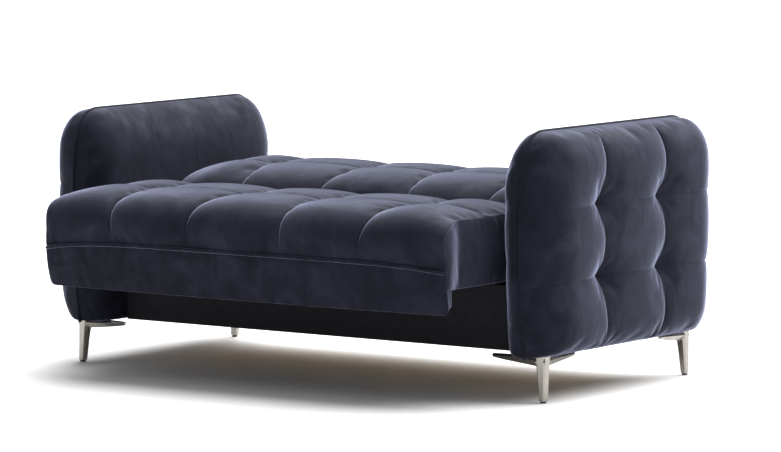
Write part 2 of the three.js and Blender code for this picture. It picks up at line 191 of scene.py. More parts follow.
def velour(name, colours, bloom=1.0, sheen=1.0):
    """Polyester velour, woven with a cut pile and brushed.

    Near-black blue face on, and pale along any edge seen at a low angle; hand marks where
    the pile leans another way.
    """
    material, tree, place = blank_material(name)
    marks = noise(tree, place, 0.09, 3.0, Roughness=0.55, Distortion=0.7)    # hand marks
    strokes = noise(tree, stretched(tree, place, 0.016, 0.016, 0.11), 1.0, 2.0)   # down the cloth
    pile = noise(tree, place, 0.0014, 1.0)               # drawn coarser than the real 0.4 mm
    lean = add_node(tree, "ShaderNodeMath", {0: marks, 1: 0.86}, operation="MULTIPLY")
    mixed = add_node(tree, "ShaderNodeMath", {
        0: strokes, 1: 0.14, 2: lean.outputs["Value"]}, operation="MULTIPLY_ADD").outputs["Value"]
    nap = ramp(tree, mixed, [
        (0.36, shade(colours.velvet_deep, 1.0)),
        (0.52, shade(colours.velvet, 1.0)),
        # bloom below 1 darkens the lightest pile tone; the welt's velvet uses 0.3 here as painted shade
        (0.68, shade(colours.velvet_bloom, bloom))])
    shaded = add_node(tree, "ShaderNodeVectorMath", {
        0: nap, 1: remap(tree, pile, 0.3, 0.7, 0.82, 1.18)}, operation="MULTIPLY")
    lay = bump(tree, mixed, 0.35, 0.006)
    return surfaced(
        material, tree, Base_Color=shaded.outputs["Vector"],
        Roughness=remap(tree, mixed, 0.35, 0.65, 0.92, 0.74), Specular_IOR_Level=0.12,
        Sheen_Weight=sheen, Sheen_Roughness=0.29, Sheen_Tint=shade(colours.velvet_sheen, 1.0),
        Normal=bump(tree, pile, 0.35, 0.0006, Normal=lay))


def spunbond(colours):
    """Spunbond polypropylene, the dust cover tacked under seat furniture: flat black, dimpled."""
    material, tree, place = blank_material("spunbond_lining")
    fibres = noise(tree, place, 0.003, 4.0, Distortion=1.5)
    dimples = add_node(tree, "ShaderNodeTexVoronoi", {                   # 2 mm weld points
        "Vector": place, "Scale": 1 / 0.002, "Randomness": 0.15})
    return surfaced(
        material, tree, Base_Color=tones(tree, fibres, colours.lining, (0.3, 0.7), (0.7, 1.4)),
        Roughness=0.8, Specular_IOR_Level=0.3,
        Normal=bump(tree, dimples.outputs["Distance"], 0.5, 0.0004))


def twill(colours):
    """Black polyester twill, woven and stretched over the box's boards: matt, fine diagonal."""
    material, tree, place = blank_material("box_twill")
    turned = add_node(tree, "ShaderNodeMapping", {
        "Vector": place, "Rotation": (math.radians(45), math.radians(35), math.radians(45))})
    ribs = add_node(tree, "ShaderNodeTexWave", {                         # 1.6 mm ribs, drawn coarser
        "Vector": turned.outputs["Vector"], "Scale": 1 / (0.0016 * 2 * math.pi) * math.pi / 10,
        "Distortion": 0.6, "Detail": 1.0})
    slubs = noise(tree, place, 0.03, 5.0, Roughness=0.65)
    return surfaced(
        material, tree, Base_Color=tones(tree, slubs, colours.box_cloth, (0.3, 0.75), (0.7, 1.3)),
        Roughness=0.85, Specular_IOR_Level=0.2, Sheen_Weight=0.08,
        Normal=bump(tree, ribs.outputs["Fac"], 0.3, 0.0003))


def pine(colours):
    """Pine, sawn and planed: pale straw with darker latewood lines along the length."""
    material, tree, place = blank_material("planed_pine")
    bent = add_node(tree, "ShaderNodeTexNoise", {"Vector": place, "Scale": 1 / 0.4, "Detail": 2.0})
    wander = add_node(tree, "ShaderNodeVectorMath", {
        0: bent.outputs["Color"], 1: (0.03, 0.03, 0.03), 2: place}, operation="MULTIPLY_ADD")
    rings = add_node(tree, "ShaderNodeTexWave", {                        # rings 4 mm apart
        "Vector": wander.outputs["Vector"], "Scale": 1 / 0.004 / 20, "Distortion": 3.0,
        "Detail": 2.0, "Detail Scale": 0.6}, wave_type="RINGS", rings_direction="X")
    return surfaced(
        material, tree, Roughness=0.62,
        Base_Color=tones(tree, rings.outputs["Fac"], colours.pine, (0.15, 1.0), (0.9, 0.6)),
        Normal=bump(tree, noise(tree, place, 0.0012, 2.0), 0.25, 0.0004))


def birch_ply(colours):
    """Birch plywood, rotary cut and sanded: wide soft figure on the face, plies at the edge."""
    material, tree, place = blank_material("birch_plywood")
    figure = noise(tree, stretched(tree, place, 0.5, 0.06, 0.06), 1.0, 6.0, Distortion=1.2)
    plies = add_node(tree, "ShaderNodeTexWave", {                        # plies 1.6 mm thick
        "Vector": place, "Scale": 1 / 0.0032 / 20}, bands_direction="Z")
    face = tones(tree, figure, colours.plywood, (0.3, 0.75), (0.7, 1.15))
    layers = ramp(tree, plies.outputs["Fac"], [(0.4, grey(1.0)), (0.6, grey(0.62))])
    side = add_node(tree, "ShaderNodeSeparateXYZ", {
        "Vector": add_node(tree, "ShaderNodeTexCoord").outputs["Normal"]})
    flat = add_node(tree, "ShaderNodeMath", {0: side.outputs["Z"]}, operation="ABSOLUTE")
    edged = add_node(tree, "ShaderNodeMix", {
        0: flat.outputs["Value"], 6: layers, 7: grey(1.0)}, data_type="RGBA")
    tone = add_node(tree, "ShaderNodeMix", {
        0: 1.0, 6: face, 7: edged.outputs[2]}, data_type="RGBA", blend_type="MULTIPLY")
    return surfaced(material, tree, Base_Color=tone.outputs[2], Roughness=0.55)


def satin_nickel(colours):
    """Satin nickel plate on a zinc die casting: soft grey mirror, brightest on worn edges and a little
    darker in its hollows, which is painted shade.
    """
    material, tree, place = blank_material("satin_nickel_plate")
    cloud = noise(tree, place, 0.035, 4.0)
    lines = noise(tree, stretched(tree, place, 0.0009, 0.0009, 0.03), 1.0, 2.0)   # polishing lines,
    edge = add_node(tree, "ShaderNodeNewGeometry").outputs["Pointiness"]     # coarser than real
    # pointiness lightens sharp edges as rubbed wear, and darkens hollows as painted shade
    tone = add_node(tree, "ShaderNodeMix", {
        0: cloud, 6: tones(tree, edge, colours.nickel, (0.48, 0.86), (0.56, 1.12)),
        7: shade(colours.nickel, 0.9)}, data_type="RGBA")
    return surfaced(
        material, tree, Base_Color=tone.outputs[2], Metallic=1.0,
        Roughness=remap(tree, cloud, 0.3, 0.7, 0.16, 0.26), Normal=bump(tree, lines, 0.08, 0.0002))


def zinc_steel(colours):
    """Cold-rolled steel, pressed and zinc plated: bluish grey with faint spangle and smears."""
    material, tree, place = blank_material("zinc_plated_steel")
    spangle = add_node(tree, "ShaderNodeTexVoronoi", {"Vector": place, "Scale": 1 / 0.006})
    smear = noise(tree, place, 0.02, 5.0)
    return surfaced(
        material, tree, Base_Color=tones(tree, smear, colours.zinc, (0.3, 0.72), (0.7, 1.1)),
        Metallic=1.0, Roughness=remap(tree, spangle.outputs["Distance"], 0.0, 0.8, 0.3, 0.48),
        Normal=bump(tree, smear, 0.15, 0.0004))


def moulded_nylon(colours):
    """Nylon 6, injection moulded with a fine spark texture: black, waxy highlights."""
    material, tree, place = blank_material("moulded_nylon")
    scuff = noise(tree, place, 0.008, 4.0)
    return surfaced(
        material, tree, Base_Color=tones(tree, scuff, colours.nylon, (0.35, 1.0), (0.75, 2.0)),
        Roughness=0.48, IOR=1.53, Normal=bump(tree, noise(tree, place, 0.0006, 2.0), 0.2, 0.0002))


def studio_vinyl(colours):
    """Matt studio vinyl, calendered: pale grey with a hint of unevenness."""
    material, tree, place = blank_material("studio_vinyl")
    uneven = noise(tree, place, 1.2, 3.0)
    return surfaced(
        material, tree, Base_Color=tones(tree, uneven, colours.floor, (0.3, 0.985), (0.7, 1.0)),
        Roughness=0.7, Specular_IOR_Level=0.2)


def finish(name, make, *options):
    """The material of that name, made by its function on first use."""
    return bpy.data.materials.get(name) or make(*options)


def velvet(context):
    return finish("brushed_velour", velour, "brushed_velour", context.scene.sofa_colours)


def shaded_welt_velvet(context):
    """The same velour on the welt's cord, with little sheen and its lightest pile tone darkened to near
    black: painted shade of the groove between the arm covers.
    """
    return finish("cord_velour", velour, "cord_velour", context.scene.sofa_colours, 0.3, 0.06)


def lining(context):
    return finish("spunbond_lining", spunbond, context.scene.sofa_colours)


# ---- curves and grids ------------------------------------------------------------------

def bezier(p0, p1, p2, p3, count=30):
    """Points along a cubic curve."""
    t = np.linspace(0, 1, count)[:, None]
    p0, p1, p2, p3 = (np.array(p, float) for p in (p0, p1, p2, p3))
    return (1 - t) ** 3 * p0 + 3 * (1 - t) ** 2 * t * p1 + 3 * (1 - t) * t * t * p2 + t ** 3 * p3


def chain(*curves):
    """One line through several curves that meet end to end."""
    return np.concatenate([curves[0]] + [np.atleast_2d(c)[1:] for c in curves[1:]])


def walk(points, shares):
    """Points at the given shares of a line's own length."""
    steps = np.linalg.norm(np.diff(points, axis=0), axis=1)
    run = np.concatenate([[0], np.cumsum(steps)])
    at = np.asarray(shares) * run[-1]
    return np.stack([np.interp(at, run, points[:, k]) for k in range(points.shape[1])], axis=1)


def ease(low, high, value):
    """0 below low, 1 above high, and smooth between them."""
    t = np.clip((value - low) / (high - low), 0, 1)
    return t * t * (3 - 2 * t)


def crown(share, near, far):
    """Height of a stuffed channel across its width: round shoulders near each end."""
    up = np.sqrt(np.clip(1 - (1 - np.clip(share / near, 0, 1)) ** 2, 0, 1))
    down = np.sqrt(np.clip(1 - (1 - np.clip((1 - share) / far, 0, 1)) ** 2, 0, 1))
    return up * down


def stations(breaks, step, crowding=0.1):
    """Where a grid's lines go: on every break, and closer together beside them.

    Returns the places, the span that each one is in and its share of that span.
    """
    places, spans, shares = [], [], []
    for k, (low, high) in enumerate(zip(breaks, breaks[1:])):
        count = max(4, round((high - low) / step))
        s = np.arange(count) / count
        t = s - crowding * np.sin(2 * np.pi * s)
        places.extend(low + (high - low) * t)
        spans.extend([k] * count)
        shares.extend(t)
    return (np.array(places + [breaks[-1]]), np.array(spans + [len(breaks) - 2]),
            np.array(shares + [1.0]))


def rim(grid):
    """A grid's border, once round, starting along its first row."""
    return np.concatenate([grid[0, :-1], grid[:-1, -1], grid[-1, :0:-1], grid[:0:-1, 0]])


def quads_between(upper, lower):
    """Faces joining two closed rings of vertex numbers."""
    return np.stack([upper, lower, np.roll(lower, -1), np.roll(upper, -1)], axis=1)


def sewn(face, rings):
    """Vertices and faces of a face grid with rings hung one after another from its border."""
    rows, columns = face.shape[:2]
    index = np.arange(rows * columns).reshape(rows, columns)
    cells = [index[:-1, :-1], index[:-1, 1:], index[1:, 1:], index[1:, :-1]]
    faces = [np.stack(cells, axis=-1).reshape(-1, 4)]
    points = [face.reshape(-1, 3)]
    edge = rim(index)
    total = rows * columns
    for ring in rings:
        lower = total + np.arange(len(ring))
        faces.append(quads_between(edge, lower))
        points.append(ring)
        edge = lower
        total += len(ring)
    return np.concatenate(points), np.concatenate(faces)


# ---- meshes ----------------------------------------------------------------------------

def mesh_piece(name, points, faces, *materials):
    """A smooth mesh object in the scene."""
    mesh = bpy.data.meshes.new(name)
    faces = faces.tolist() if isinstance(faces, np.ndarray) else faces
    mesh.from_pydata(np.asarray(points).tolist(), [], faces)
    for material in materials:
        mesh.materials.append(material)
    piece = bpy.data.objects.new(name, mesh)
    bpy.context.scene.collection.objects.link(piece)
    mesh.shade_smooth()
    return piece


def save_outward(work, mesh):
    """Turns a bmesh's faces outward and writes it into a mesh."""
    bmesh.ops.recalc_face_normals(work, faces=work.faces)
    work.to_mesh(mesh)
    work.free()


def coordinates(mesh):
    """A mesh's points as an array."""
    flat = np.zeros(len(mesh.vertices) * 3)
    mesh.vertices.foreach_get("co", flat)
    return flat.reshape(-1, 3)


def swell(piece, held, sizes, limit):
    """Blows a cover out between its held points by a short cloth simulation.

    No point ends up further than its limit from where it was cut, so seams keep their line.
    """
    scene = bpy.context.scene
    start = coordinates(piece.data)
    group = piece.vertex_groups.new(name="held")
    for share in np.unique(held[held > 0]):
        group.add(np.flatnonzero(held == share).tolist(), float(share), "REPLACE")
    cloth = piece.modifiers.new("Cloth", "CLOTH")
    cloth.point_cache.frame_start = 1
    cloth.point_cache.frame_end = sizes.cloth_frames
    settings = cloth.settings
    settings.quality = 6
    settings.mass = 0.3
    settings.tension_stiffness = 20
    settings.compression_stiffness = 20
    settings.shear_stiffness = 8
    settings.bending_stiffness = 0.8
    settings.vertex_group_mass = "held"
    settings.use_pressure = True
    settings.uniform_pressure_force = sizes.cloth_pressure
    settings.shrink_min = -sizes.cloth_ease
    settings.effector_weights.gravity = 0
    for number in range(1, sizes.cloth_frames + 1):
        scene.frame_set(number)
    settled = piece.evaluated_get(bpy.context.evaluated_depsgraph_get())
    moved = coordinates(settled.data) - start
    piece.modifiers.remove(cloth)
    piece.vertex_groups.remove(group)
    scene.frame_set(1)
    length = np.maximum(np.linalg.norm(moved, axis=1), 1e-9)
    limit = np.broadcast_to(limit, length.shape)
    kept = np.where(limit > 0, limit * np.tanh(length / np.maximum(limit, 1e-9)) / length, 0)
    piece.data.vertices.foreach_set("co", (start + moved * kept[:, None]).ravel())
    piece.data.update()


def smooth_and_close(piece):
    """Subdivides a cover once, then closes its open side with one flat face of its last material."""
    refine = piece.modifiers.new("Refine", "SUBSURF")
    refine.levels = refine.render_levels = 1
    shaped = piece.evaluated_get(bpy.context.evaluated_depsgraph_get())
    mesh = bpy.data.meshes.new_from_object(shaped)
    piece.modifiers.clear()
    old = piece.data
    piece.data = mesh
    bpy.data.meshes.remove(old)
    mesh.name = piece.name
    work = bmesh.new()
    work.from_mesh(mesh)
    border = [e for e in work.edges if e.is_boundary]
    if border:
        made = bmesh.ops.holes_fill(work, edges=border, sides=0)["faces"]
        for face in made:
            face.material_index = len(mesh.materials) - 1
            face.smooth = False
            for edge in face.edges:
                edge.smooth = False
    save_outward(work, mesh)


def tube(path, radius, sides=12):
    """Points and faces of a cord swept along a path, with round ends."""
    path = np.asarray(path, float)
    ends = np.sin(np.linspace(0, np.pi / 2, 5))[1:]
    cut = 1 - np.cos(np.linspace(0, np.pi / 2, 5))[1:]
    tangent = np.gradient(path, axis=0)
    tangent /= np.linalg.norm(tangent, axis=1)[:, None]
    head = path[0] - tangent[0] * radius * (1 - cut[:, None])
    tail = path[-1] + tangent[-1] * radius * (1 - cut[::-1, None])
    line = np.concatenate([head[:-1], path, tail[1:]])
    width = radius * np.concatenate([ends[:-1], np.ones(len(path)), ends[::-1][1:]])
    tangent = np.gradient(line, axis=0)
    tangent /= np.linalg.norm(tangent, axis=1)[:, None]
    across = np.cross(tangent[0], (0.31, 0.17, 0.94))
    turn = np.linspace(0, 2 * np.pi, sides, endpoint=False)
    rings = []
    for place, way, size in zip(line, tangent, width):
        across = across - way * np.dot(across, way)
        across /= np.linalg.norm(across)
        up = np.cross(way, across)
        rings.append(place + size * (np.cos(turn)[:, None] * across + np.sin(turn)[:, None] * up))
    points = np.concatenate(rings)
    index = np.arange(len(points)).reshape(len(rings), sides)
    faces = np.concatenate([quads_between(a, b) for a, b in zip(index, index[1:])]).tolist()
    faces.append(index[0].tolist())
    faces.append(index[-1][::-1].tolist())
    return points, faces


def cord(name, path, radius, material, body):
    """A velvet-covered cord along a path, sewn to a body."""
    piece = mesh_piece(name, *tube(path, radius), material)
    work = bmesh.new()
    work.from_mesh(piece.data)
    save_outward(work, piece.data)
    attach(piece, body)


def upholster(name, body, node, fill, points, faces, grip, limit, context, *backing):
    """Makes a padded velvet piece that stands for a frame node: swelled, refined and placed."""
    piece = mesh_piece(name, points, faces, velvet(context), *backing)
    swell(piece, grip, context.scene.sofa_sizes, limit)
    smooth_and_close(piece)
    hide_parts(node)
    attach(piece, body)


# ---- seat and back ---------------------------------------------------------------------

class Channels:
    """The channelled face of the seat or the back: five channels, two rows, one tuft row.

    seam_lines run front to back between channels; front and rear are the lines in the (Y, Z)
    plane that the seams follow from the front edge to the tuft row and on to the rear edge;
    side_front and side_rear are the same along the two outer edges, and rise is the height of
    the channels over their seams.
    """

    def __init__(self, half, seam_x, front, rear, side_front, side_rear, rise, sizes):
        self.half = half
        self.rise = rise
        self.seams = np.concatenate([
            -half * np.ones((3, 1)), np.array(seam_x), half * np.ones((3, 1))], axis=1)
        widths = list(self.seams[1])
        _, self.span, self.share = stations(widths, sizes.grid_step)
        self.lines = (front, rear)
        self.side_lines = (side_front, side_rear)
        lengths = [np.linalg.norm(np.diff(line, axis=0), axis=1).sum() for line in self.lines]
        _, self.row, self.row_share = stations([0, lengths[0], lengths[0] + lengths[1]], sizes.grid_step)

    def line_at(self, lines):
        """(Y, Z) of each row along a pair of lines."""
        first = walk(lines[0], self.row_share[self.row == 0])
        second = walk(lines[1], self.row_share[self.row == 1])
        return np.concatenate([first, second])

    def build(self, row_crown, edge_roll, tuft_keep, dip):
        """The face as a grid of points, and which of them a seam or the edge holds."""
        level = self.line_at(self.lines)
        side = self.line_at(self.side_lines)
        along = np.gradient(level, axis=0)
        along /= np.linalg.norm(along, axis=1)[:, None]
        out = np.stack([-along[:, 1], along[:, 0]], axis=1)          # outward in the (Y, Z) plane
        travel = self.row + self.row_share
        bounds = np.stack([np.interp(travel, [0, 1, 2], self.seams[:, k]) for k in range(6)], axis=1)
        x = bounds[:, self.span] + self.share * (bounds[:, self.span + 1] - bounds[:, self.span])
        rise = self.channel_rise(row_crown, edge_roll, tuft_keep)
        rise -= self.tuft_dips(x, level, dip)
        outer = ease(self.half - edge_roll, self.half, np.abs(x))[..., None]
        base = level[:, None, :] * (1 - outer) + side[:, None, :] * outer
        grid = np.empty(x.shape + (3,))
        grid[..., 0] = x
        grid[..., 1:] = base + out[:, None, :] * rise[..., None]
        on_seam = (self.share == 0) | (self.share == 1)
        held = np.zeros(x.shape)
        held[:, on_seam] = 1
        held[(self.row == 1) & (self.row_share == 0), :] = 0.35
        held[0, :] = held[-1, :] = 1
        held[:, 0] = held[:, -1] = 1
        return grid, held

    def channel_rise(self, row_crown, edge_roll, tuft_keep):
        """How far each point stands above the seams' level."""
        last = self.span == 4
        first = self.span == 0
        roll = edge_roll / (self.half - self.seams[1, 4])
        across = np.where(last, crown(self.share, 0.5, roll),
                          np.where(first, crown(self.share, roll, 0.5), crown(self.share, 0.5, 0.5)))
        starts, ends = row_crown
        front = crown(self.row_share, starts[0], ends[0])
        front = tuft_keep + (1 - tuft_keep) * front
        at_edge = np.clip(self.row_share / starts[0], 0, 1)
        front = np.where(self.row == 0, front * np.sqrt(at_edge * (2 - at_edge)), 0)
        rear = tuft_keep + (1 - tuft_keep) * crown(self.row_share, starts[1], ends[1])
        to_edge = np.clip((1 - self.row_share) / ends[1], 0, 1)
        rear = np.where(self.row == 1, rear * np.sqrt(to_edge * (2 - to_edge)), 0)
        return self.rise * across[None, :] * (front + rear)[:, None]

    def tuft_dips(self, x, level, dip):
        """The pull of each tuft, with a few short creases running out from it."""
        tuft_row = int(np.flatnonzero((self.row == 1) & (self.row_share == 0))[0])
        travel = np.concatenate([[0], np.cumsum(np.linalg.norm(np.diff(level, axis=0), axis=1))])
        away = (travel - travel[tuft_row])[:, None]
        total = np.zeros(x.shape)
        for number, seam in enumerate(self.seams[1, 1:5]):
            across = x - seam
            reach = np.hypot(across, away)
            angle = np.arctan2(away, across)
            total += dip * np.exp(-(reach / 0.026) ** 1.2)
            folds = 0.5 + 0.5 * np.cos(7 * angle + 1.3 * number)
            total += 0.0022 * folds * np.exp(-reach / 0.030) * ease(0.002, 0.018, reach)
        return total


def boxing(face, base_z, front_y, rear_y, half, bulge):
    """Rings that hang a seat's or back's plain border from its face down to its folded hem."""
    top = rim(face)
    count = face.shape[1] - 1
    rows = face.shape[0] - 1
    corner = [0, count, count + rows, 2 * count + rows, 2 * (count + rows)]
    x, y = top[:, 0].copy(), top[:, 1].copy()
    for start, end, rising in ((corner[1], corner[2], True), (corner[3], corner[4], False)):
        part = np.concatenate([top[start:end], top[end % len(top)][None]])
        steps = np.linalg.norm(np.diff(part, axis=0), axis=1)
        share = np.concatenate([[0], np.cumsum(steps)])[:-1] / steps.sum()
        y[start:end] = front_y + (rear_y - front_y) * (share if rising else 1 - share)
        x[start:end] = half if rising else -half
    y[corner[0]:corner[1]] = front_y
    y[corner[2]:corner[3]] = rear_y
    foot = np.stack([x, y, np.full(len(x), base_z)], axis=1)
    outward = np.zeros_like(foot)
    outward[corner[0]:corner[1], 1] = -1
    outward[corner[1]:corner[2], 0] = 1
    outward[corner[2]:corner[3], 1] = 1
    outward[corner[3]:corner[4], 0] = -1
    for c in corner[:4]:
        outward[c] = (outward[c] + outward[c - 1]) / math.sqrt(2)
    rings = []
    fold = HEM_FOLD
    for t in (0.012, 0.05, 0.12, 0.22, 0.34, 0.46, 0.58, 0.7, 0.8, 0.88, 0.94):
        spread = bulge * math.sin(math.pi * t) ** 0.8
        tuck = -0.0022 * math.exp(-t / 0.02)
        ring = top + (foot - top) * t + outward * (spread + tuck)
        ring[:, 2] = np.maximum(ring[:, 2], base_z + fold)
        rings.append(ring)
    for turn in (0, 30, 60, 90):
        a = math.radians(turn)
        ring = foot + outward * (fold * (math.cos(a) - 1))
        ring[:, 2] += fold * (1 - math.sin(a))
        rings.append(ring)
    rings.append(foot - outward * 0.03)
    return rings


def seat_plan(points, front, half):
    """Widens the seat in front of the arms and bows its front edge."""
    x, y = points[:, 0], points[:, 1]
    bow = SEAT_BOW * np.abs(x / half) ** 3 - 0.002
    moved = points.copy()
    moved[:, 0] = x * (1 + SEAT_FLARE * ease(front + 0.100, front + 0.010, y))
    moved[:, 1] = y + bow * ease(front + 0.230, front, y)
    return moved


def channelled_cover(body, channels, face_options, base_z, front_y, rear_y, plan, context):
    """Cuts and makes the cover of the seat or the back."""
    sizes = context.scene.sofa_sizes
    face, held = channels.build(*face_options)
    rings = boxing(face, base_z, front_y, rear_y, channels.half, SIDE_BULGE)
    points, faces = sewn(face, rings)
    points = plan(points)
    grip = np.concatenate([held.ravel(), np.zeros(len(rings[0]) * len(rings))])
    size = len(rings[0])
    grip[-6 * size:] = 1
    limit = np.full(len(points), sizes.swell_limit * 0.5)
    limit[:held.size] = sizes.swell_limit
    upholster(f"{body}_cover", body, f"{body}_cushion", 0.8, points, faces, grip, limit, context,
              lining(context))


def seat_lines(low, high):
    """The seat's seam line and its outer edge line, each as front and rear parts."""
    front, rear, top = low.y, high.y, high.z
    tuft = (front + SEAT_TUFT_Y, top - 0.009)
    knee, brow = (front + 0.002, 0.438), (front + 0.110, top - 0.012)
    seam_front = chain(
        bezier((front + 0.002, 0.377), (front - 0.002, 0.400), (front - 0.002, 0.420), knee),
        bezier(knee, (front + 0.010, 0.478), (front + 0.050, top - 0.016), brow),
        bezier(brow, (front + 0.150, top - 0.010), (front + 0.190, top - 0.009), tuft))
    nape = (rear - 0.072, top - 0.026)
    seam_rear = chain(
        bezier(tuft, (front + 0.300, top - 0.008), (rear - 0.120, top - 0.009), nape),
        bezier(nape, (rear - 0.026, top - 0.046), (rear, top - 0.070), (rear, 0.395)))
    side = top - 0.023
    knee, brow = (front + 0.002, 0.448), (front + 0.120, side)
    middle, nape = (tuft[0], side + 0.001), (rear - 0.050, side - 0.012)
    edge_front = chain(
        bezier((front, 0.362), (front + 0.001, 0.400), (front, 0.425), knee),
        bezier(knee, (front + 0.012, 0.482), (front + 0.060, side), brow),
        bezier(brow, (front + 0.150, side), (front + 0.190, side), middle))
    edge_rear = chain(
        bezier(middle, (front + 0.320, side + 0.002), (rear - 0.100, side), nape),
        bezier(nape, (rear - 0.014, side - 0.030), (rear, side - 0.050), (rear, 0.395)))
    return seam_front, seam_rear, edge_front, edge_rear


def back_lines(low, high):
    """The back's seam line and its outer edge line, each as front and rear parts."""
    front, rear, top = low.y, high.y, high.z
    tuft = (front + BACK_TUFT_Y, top - 0.006)
    seam_front = chain(
        bezier((front, 0.400), (front + 0.001, 0.440), (front + 0.006, 0.478), (front + 0.050, 0.505)),
        bezier((front + 0.050, 0.505), (front + 0.100, 0.532), (front + 0.160, top - 0.007), tuft))
    seam_rear = chain(
        bezier(tuft, (front + 0.310, top - 0.004), (rear - 0.130, top - 0.002), (rear - 0.075, top - 0.020)),
        bezier((rear - 0.075, top - 0.020), (rear - 0.020, top - 0.045), (rear, top - 0.080), (rear, 0.400)))
    drop = 0.016
    edge_front = seam_front - [0, drop] * ease(0.44, 0.50, seam_front[:, 1])[:, None]
    edge_rear = seam_rear - [0, drop] * ease(0.44, 0.50, seam_rear[:, 1])[:, None]
    return seam_front, seam_rear, edge_front, edge_rear


class SOFA_OT_seat_cover(Operator):
    """Channelled and tufted velvet cover of the seat"""

    bl_idname = "sofa.seat_cover"
    bl_label = "Seat Cover"

    def execute(self, context):
        sizes = context.scene.sofa_sizes
        low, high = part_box("seat_cushion")
        lines = seat_lines(low, high)
        channels = Channels(high.x + COVER_OUT, SEAT_SEAM_X, *lines, sizes.channel_rise, sizes)
        options = (((0.30, 0.35), (0.30, 0.42)), 0.125, 0.22, sizes.tuft_dip)
        channelled_cover("seat", channels, options, SEAT_BASE_Z, low.y + 0.010, high.y,
                         lambda p: seat_plan(p, low.y, channels.half), context)
        return {"FINISHED"}


class SOFA_OT_back_cover(Operator):
    """Channelled and tufted velvet cover of the back"""

    bl_idname = "sofa.back_cover"
    bl_label = "Back Cover"

    def execute(self, context):
        sizes = context.scene.sofa_sizes
        low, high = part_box("back_cushion")
        lines = back_lines(low, high)
        channels = Channels(high.x + COVER_OUT, BACK_SEAM_X, *lines, sizes.back_rise, sizes)
        options = (((0.38, 0.30), (0.30, 0.30)), 0.130, 0.22, sizes.tuft_dip)
        channelled_cover("back", channels, options, BACK_BASE_Z, low.y, high.y, lambda p: p, context)
        return {"FINISHED"}


def seat_seam_dip(x, half):
    """How far the front seam sags towards the two corners of the seat."""
    return np.where(x < 0, 0.024, 0.016) * np.abs(x / half) ** 5


class SOFA_OT_seat_border(Operator):
    """Plain velvet border that hangs in front of the seat, its piping and its hem"""

    bl_idname = "sofa.seat_border"
    bl_label = "Seat Border"

    def execute(self, context):
        sizes = context.scene.sofa_sizes
        low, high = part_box("seat_front_border")
        seat_low, seat_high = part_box("seat_cushion")
        half = seat_high.x + COVER_OUT
        face, held = border_face(half, seat_low.y, low.z)
        rings = border_rings(face, high.y)
        points, faces = sewn(face, rings)
        points = seat_plan(points, seat_low.y, half)
        grip = np.concatenate([held.ravel(), np.ones(len(rings[0]) * len(rings))])
        upholster("seat_border", "seat", "seat_front_border", 0.7, points, faces, grip,
                  np.full(len(points), sizes.swell_limit * 0.4), context)
        x = np.linspace(-half - 0.001, half + 0.001, 160)
        z = PIPING_Z - seat_seam_dip(x, half)
        out = np.abs(x / half)
        y = seat_low.y - 0.002 - 0.005 * ease(0.85, 0.96, out) + 0.010 * out ** 120
        path = seat_plan(np.stack([x, y, z], axis=1), seat_low.y, half)
        cord("seat_piping", path, sizes.piping_radius, velvet(context), "seat")
        return {"FINISHED"}


def border_face(half, front_y, lip_z):
    """The border's front: a panel that leans back to a rounded bottom edge."""
    columns, _, _ = stations([-half, -half + 0.03, half - 0.03, half], 0.012, 0.05)
    rows, _, share = stations([0.0, 1.0], 1 / 16, 0.04)
    x = np.tile(columns, (len(rows), 1))
    top = BORDER_TOP_Z - seat_seam_dip(x, half)
    inset = np.clip((np.abs(x) - (half - BORDER_CORNER)) / BORDER_CORNER, 0, 1)
    bottom = lip_z + BORDER_CORNER * (1 - np.sqrt(np.clip(1 - inset ** 2, 0, 1)))
    z = bottom + (top - bottom) * share[:, None]
    lean = BORDER_LEAN * (1 - share[:, None]) ** 1.3
    y = front_y + COVER_OUT + lean - 0.003 * np.sin(np.pi * share[:, None])
    held = np.zeros(x.shape)
    held[0, :] = held[-1, :] = held[:, 0] = held[:, -1] = 1
    return np.stack([x, y + 0 * x, z], axis=2), held


def border_rings(face, rear_y):
    """Rings that carry the border round its edges and back to the front rail's rear."""
    edge = rim(face)
    count, rows = face.shape[1] - 1, face.shape[0] - 1
    outward = np.zeros_like(edge)
    outward[:count + 1, 2] = -1
    outward[count:count + rows + 1, 0] += 1
    outward[count + rows:2 * count + rows + 1, 2] += 1
    outward[2 * count + rows:, 0] -= 1
    outward[0, 0] -= 1
    outward /= np.linalg.norm(outward, axis=1)[:, None]
    low = np.zeros(len(edge))
    low[:count + 1] = 1
    depth = rear_y + 0.002 - edge[:, 1]
    rings = []
    for t in (0.01, 0.03, 0.10, 0.25, 0.45, 0.65, 0.85, 1.0):
        ring = edge + outward * BORDER_SWELL.get(t, 0.0)
        ring[:, 1] = edge[:, 1] + depth * t
        ring[:, 2] += low * 0.026 * ease(0.05, 0.9, t)
        rings.append(ring)
    return rings


# ---- arms ------------------------------------------------------------------------------

def arm_outline(low, high, back_off=0.0):
    """The arm's side outline in (Y, Z) as its front edge, from the floor of the arm to the
    middle of the rounded corner, and half of its top edge from there to the middle."""
    middle = (low.y + high.y) / 2
    reach = (high.y - low.y) / 2 - back_off
    foot, top = low.z + back_off * 0.5, high.z - back_off
    belly, shoulder = (-reach, foot + 0.308), (-0.972 * reach, foot + 0.495)
    front = chain(
        bezier((-0.942 * reach, foot), (-0.988 * reach, foot + 0.108), (-reach, foot + 0.208), belly),
        bezier(belly, (-reach, foot + 0.398), (-0.991 * reach, foot + 0.465), shoulder),
        bezier(shoulder, (-0.942 * reach, top - 0.025), (-0.860 * reach, top), (-0.744 * reach, top), 60))
    corner = int(np.argmin(np.linalg.norm(front - [-0.935 * reach, top - 0.030], axis=1)))
    edge = front[:corner + 1] + [middle, 0]
    over = np.concatenate([front[corner:], [[0, top]]]) + [middle, 0]
    return edge, over, middle


